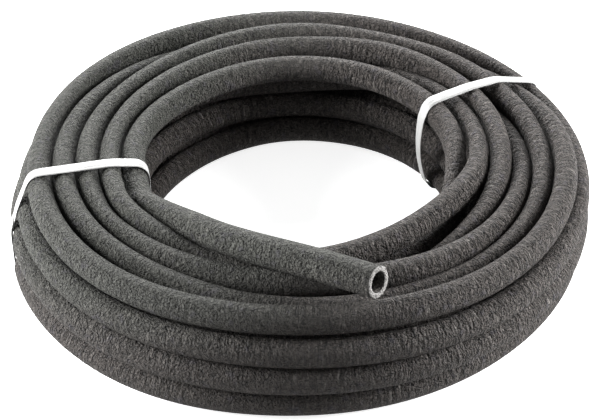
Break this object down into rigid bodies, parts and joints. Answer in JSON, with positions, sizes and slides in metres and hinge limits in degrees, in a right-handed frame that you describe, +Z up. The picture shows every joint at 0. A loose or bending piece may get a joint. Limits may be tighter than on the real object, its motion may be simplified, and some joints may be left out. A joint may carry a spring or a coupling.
{
  "type": "soaker hose",
  "caption": "Porous rubber soaker hose with plain cut ends, wound into a round coil and held by two flat strapping bands.",
  "frame": {"origin": "centre of the coil, on the surface it stands on", "axes": "+Z up along the coil's axis, -Y to the side where the free end is cut off, +X to the right as seen from that side"},
  "size_m": [0.3892, 0.3892, 0.0955],
  "materials": {
    "porous_rubber": "matte, rough and pitted, recycled crumb rubber",
    "cut_rubber": "matte, fresh cut face",
    "strapping": "satin, lightly ribbed"
  },
  "bodies": {
    "root": {"hose_coil": "porous_rubber", "hose_free_end": "porous_rubber", "hose_cut_end": "cut_rubber", "band_left": "strapping", "band_right": "strapping"}
  },
  "joints": []
}
